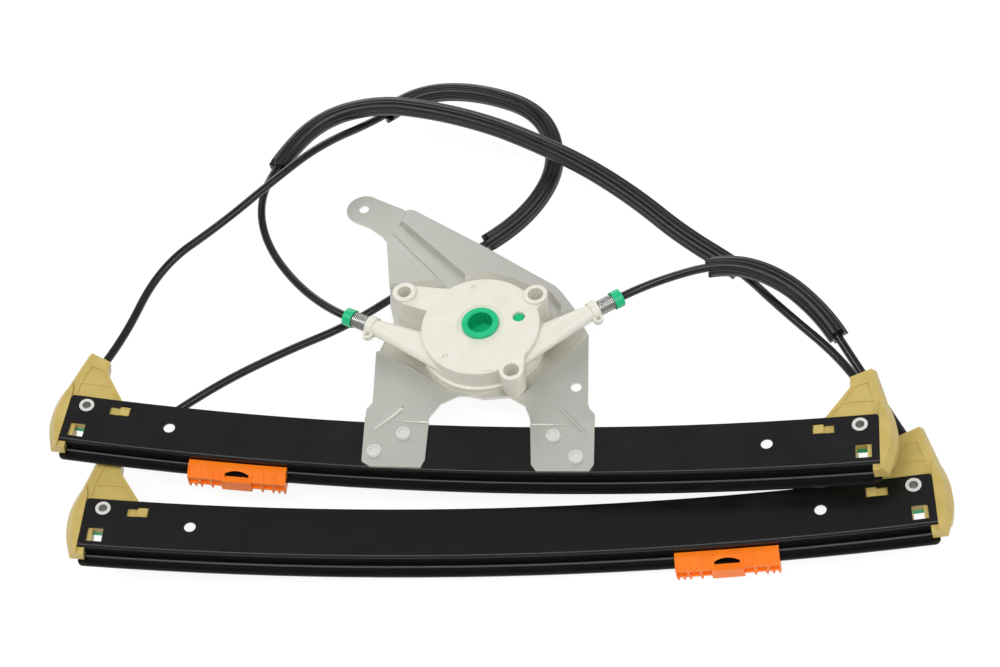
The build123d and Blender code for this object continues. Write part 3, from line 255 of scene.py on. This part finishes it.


def paint_black():
    """Semi-gloss black paint: faint clouds in its gloss, fine dust and a little orange peel."""
    shader = Shader("paint_black", Roughness=0.3, Specular_IOR_Level=0.38)
    cloud = shader.noise(0.03, 4.0)
    dust = shader.spread(shader.noise(0.0012, 2.0), (0.72, 0.82), (0.0, 1.0))
    shader.feed("Roughness", shader.spread(cloud, NOISE_MIDDLE, (0.26, 0.38)) + dust * 0.1)
    clean, dusty = (0.0045, 0.0042, 0.0044), (0.014, 0.014, 0.014)
    shader.feed("Base Color", shader.colors(dust, (0.0, clean), (1.0, dusty)))
    shader.bump(shader.noise(0.003, 2.0), FINE)
    return shader.material


def zinc_sheet():
    """Zinc-plated pressed sheet: satin metal, faintly cloudy and finely grained."""
    shader = Shader("zinc_sheet", Metallic=1.0, Roughness=0.5)
    tone = shader.noise(0.03, 4.0) * 0.6 + shader.noise(0.0015, 3.0) * 0.4
    dark, light = (0.69, 0.69, 0.635), (0.77, 0.77, 0.715)
    shader.feed("Base Color", shader.colors(tone, (0.3, dark), (0.7, light)))
    shader.feed("Roughness", shader.spread(tone, NOISE_MIDDLE, (0.52, 0.42)))
    shader.bump(shader.noise(0.0008, 2.0), FINE)
    return shader.material


def bright_steel(name, color, roughness, metallic=1.0):
    """Bright steel with a slightly uneven gloss; sides and bores get painted shade, darker than
    tops.
    """
    shader = Shader(name, Metallic=metallic, Roughness=roughness)
    normal = shader.node("ShaderNodeTexCoord", "Normal", {})
    facing = shader.node("ShaderNodeSeparateXYZ", "Z", {}, normal)
    painted_side_shade = [SIDE_SHADE_TONE * part for part in color]
    # painted shade: faces whose normal turns away from +Z get a darker base colour
    shader.feed("Base Color", shader.colors(facing, (0.2, painted_side_shade), (0.7, color)))
    gloss = (roughness - 0.03, roughness + 0.05)
    shader.feed("Roughness", shader.spread(shader.noise(0.003), NOISE_MIDDLE, gloss))
    return shader.material


def moulded(name, dark, light, roughness, soft=0.0, depth=0.001, grain=0.00003):
    """Moulded plastic: slightly uneven colour and a fine skin; soft lets light a little way in."""
    shader = Shader(name, Roughness=roughness)
    shader.surface.inputs["Subsurface Weight"].default_value = soft
    shader.surface.inputs["Subsurface Radius"].default_value = (1.0, 0.8, 0.45)
    shader.surface.inputs["Subsurface Scale"].default_value = depth
    cloud = shader.noise(0.012, 3.0)
    shader.feed("Base Color", shader.colors(cloud, (0.32, dark), (0.68, light)))
    gloss = (roughness - 0.05, roughness + 0.05)
    shader.feed("Roughness", shader.spread(cloud, NOISE_MIDDLE, gloss))
    shader.bump(shader.noise(0.0009, 2.0), grain)
    return shader.material


def stranded():
    """Greased steel cable: fine dark strands with a thin gleam."""
    shader = Shader("stranded", Metallic=1.0, Roughness=0.5)
    diagonal = {"bands_direction": "DIAGONAL"}
    strands = shader.node("ShaderNodeTexWave", "Fac", diagonal, Vector=shader.place(), Scale=420.0)
    dark, light = (0.035, 0.033, 0.03), (0.14, 0.135, 0.125)
    shader.feed("Base Color", shader.colors(strands, (0.1, dark), (0.9, light)))
    shader.bump(strands, 0.00003)
    return shader.material


MATERIALS = {
    "black_paint": paint_black(),
    "zinc_sheet": zinc_sheet(),
    "rivet_steel": bright_steel("rivet_steel", (0.84, 0.83, 0.80), 0.34, 0.4),
    "spring_steel": bright_steel("spring_steel", (0.72, 0.72, 0.71), 0.26),
    "white_plastic": moulded(
        "white_plastic", (0.775, 0.75, 0.655), (0.81, 0.785, 0.70), 0.42, 0.2, 0.0015, FINE),
    "green_plastic": moulded(
        "green_plastic", (0.003, 0.50, 0.215), (0.004, 0.56, 0.24), 0.36, 0.1),
    "yellow_plastic": moulded(
        "yellow_plastic", (0.54, 0.405, 0.115), (0.60, 0.46, 0.145), 0.36, 0.35, 0.003, FINE),
    "orange_plastic": moulded(
        "orange_plastic", (0.95, 0.19, 0.001), (1.0, 0.22, 0.002), 0.36, 0.1),
    "black_conduit": moulded(
        "black_conduit", (0.006, 0.0055, 0.0055), (0.009, 0.0085, 0.0085), 0.25, grain=FINE),
    "black_sleeve": moulded(
        "black_sleeve", (0.006, 0.006, 0.006), (0.011, 0.011, 0.011), 0.36, grain=FINE),
    "steel_rope": stranded(),
}


def dress(piece, slot):
    """Gives a piece the material of one of the record's slots."""
    piece.data.materials.clear()
    piece.data.materials.append(MATERIALS[slot])


def dress_nodes():
    """Every CAD node takes its slot's material."""
    slots = {part["node"]: part["material_slot"] for part in frame["record"]["subparts"]}
    for name, node in frame["nodes"].items():
        for index in range(len(node.material_slots)):
            node.material_slots[index].material = MATERIALS[slots[name]]


# ---------------------------------------------------------------- conduits and sleeves
SLEEVE_R, SLEEVE_BORE_R = 0.0065, 0.0030
SLEEVE_ROWS, SLEEVE_AROUND = 240, 112
LOBES, GROOVE, GROOVE_POWER = 7, 0.0011, 0.4
CUT_STEP, CUT_ROWS, CUT_WAVES = 0.0016, 3, 3
SHARP_ANGLE = 0.7  # radians; keeps the grooves crisp


def add_sleeve(name, route, first, last):
    """A soft tube round the spline between two shares of its length, grooved along it.

    At angle a its radius is SLEEVE_R - GROOVE (1 - |cos(LOBES a / 2)| ^ GROOVE_POWER). Its cut
    ends step along the line by CUT_STEP sign(sin(CUT_WAVES a + 1)), fading out over CUT_ROWS.
    """
    line = spline_points(name, route)
    reach = np.r_[0.0, np.cumsum(np.linalg.norm(np.diff(line, axis=0), axis=1))]
    at = np.linspace(first, last, SLEEVE_ROWS) * reach[-1]
    line = np.stack([np.interp(at, reach, line[:, axis]) for axis in range(3)], 1)
    tangent, side, top = carried_frames(line)
    angle = np.linspace(0, 2 * pi, SLEEVE_AROUND, endpoint=False)
    outer = SLEEVE_R - GROOVE * (1 - np.abs(np.cos(LOBES * angle / 2)) ** GROOVE_POWER)
    cut = CUT_STEP * np.sign(np.sin(CUT_WAVES * angle + 1))
    last_row = SLEEVE_ROWS - 1
    rows = []
    for index, share in [(0, 0.0), *((row, 1.0) for row in range(SLEEVE_ROWS)), (last_row, 0.0)]:
        radius = SLEEVE_BORE_R + share * (outer - SLEEVE_BORE_R)
        fade = max(0.0, 1 - min(index, last_row - index) / CUT_ROWS)
        spread = np.cos(angle)[:, None] * side[index] + np.sin(angle)[:, None] * top[index]
        along = (fade * cut)[:, None] * tangent[index]
        rows.append(line[index] + radius[:, None] * spread + along)
    piece = add_mesh(name + "_skin", np.concatenate(rows), ring_faces(len(rows), SLEEVE_AROUND))
    piece.data.set_sharp_from_angle(angle=SHARP_ANGLE)
    dress(piece, "black_sleeve")
    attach(piece, "frame")
    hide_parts(name)
    return piece


def add_conduit(name, route, sleeve, ends, length):
    """A conduit with its sleeve."""
    curve = cord_curve(name + "_cord", route, CONDUIT_R)
    dress(curve, "black_conduit")
    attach(curve, "frame")
    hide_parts(name)
    skin = add_sleeve(sleeve, route, *ends)


# ---------------------------------------------------------------- stage
FLOOR_HALF, FLOOR_BELOW, FLOOR_TONE = 4.0, 0.0005, 0.9
GLOW, GLOW_SHARE = 1.1, 0.8  # the rest of the floor's light is its own shading, with the shadow
WHITE = (1, 1, 1, 1)
LAMPS = [  # name, place and size in metres, watts
    ("key", (-0.3, -0.7, 1.6), (2.6, 0.28), 22.0),
    ("fill", (1.3, -0.5, 1.3), (0.9, 0.9), 8.0),
    ("back", (-0.6, 1.6, 0.6), (1.2, 0.6), 8.0),
]
WORLD_STRENGTH = 0.38


def add_floor():
    """A pale floor that is white to the camera and in reflections, and keeps the shadow."""
    far, low = FLOOR_HALF, cad_box[0][2] - FLOOR_BELOW
    corners = [(-far, -far, low), (far, -far, low), (far, far, low), (-far, far, low)]
    floor = add_mesh("floor", corners, [(0, 1, 2, 3)], smooth=False)
    tone = (FLOOR_TONE, FLOOR_TONE, FLOOR_TONE, 1)
    shader = Shader("floor", Base_Color=tone, Roughness=0.9, Specular_IOR_Level=0.0)
    path = shader.tree.nodes.new("ShaderNodeLightPath")
    seen = Value(shader, path.outputs["Is Camera Ray"])
    for output in ("Is Glossy Ray", "Is Transmission Ray"):
        seen = seen.math("MAXIMUM", Value(shader, path.outputs[output]))
    glow = shader.tree.nodes.new("ShaderNodeEmission")
    glow.inputs["Color"].default_value = WHITE
    glow.inputs["Strength"].default_value = GLOW
    mix = shader.tree.nodes.new("ShaderNodeMixShader")
    output = shader.tree.nodes["Material Output"]
    shader.tree.links.new((seen * GLOW_SHARE).socket, mix.inputs[0])
    shader.tree.links.new(shader.surface.outputs[0], mix.inputs[1])
    shader.tree.links.new(glow.outputs[0], mix.inputs[2])
    shader.tree.links.new(mix.outputs[0], output.inputs["Surface"])
    floor.data.materials.append(shader.material)


def add_light(name, at, size, power):
    """A soft rectangular lamp, size wide and high, that looks at the middle of the object."""
    data = bpy.data.lights.new(name, "AREA")
    data.shape, data.energy = "RECTANGLE", power
    data.size, data.size_y = size
    lamp = bpy.data.objects.new(name, data)
    bpy.context.collection.objects.link(lamp)
    lamp.location = at
    lamp.rotation_euler = (-Vector(at)).to_track_quat("-Z", "Y").to_euler()


def add_world():
    """A pale even world."""
    world = bpy.data.worlds.new("world")
    bpy.context.scene.world = world
    world.use_nodes = True
    background = world.node_tree.nodes["Background"]
    background.inputs["Color"].default_value = WHITE
    background.inputs["Strength"].default_value = WORLD_STRENGTH


bpy.context.scene.view_settings.view_transform = "Standard"
add_camera()
for cord in CORDS:
    add_conduit(*cord)
dress_nodes()
add_floor()
for lamp in LAMPS:
    add_light(*lamp)
add_world()
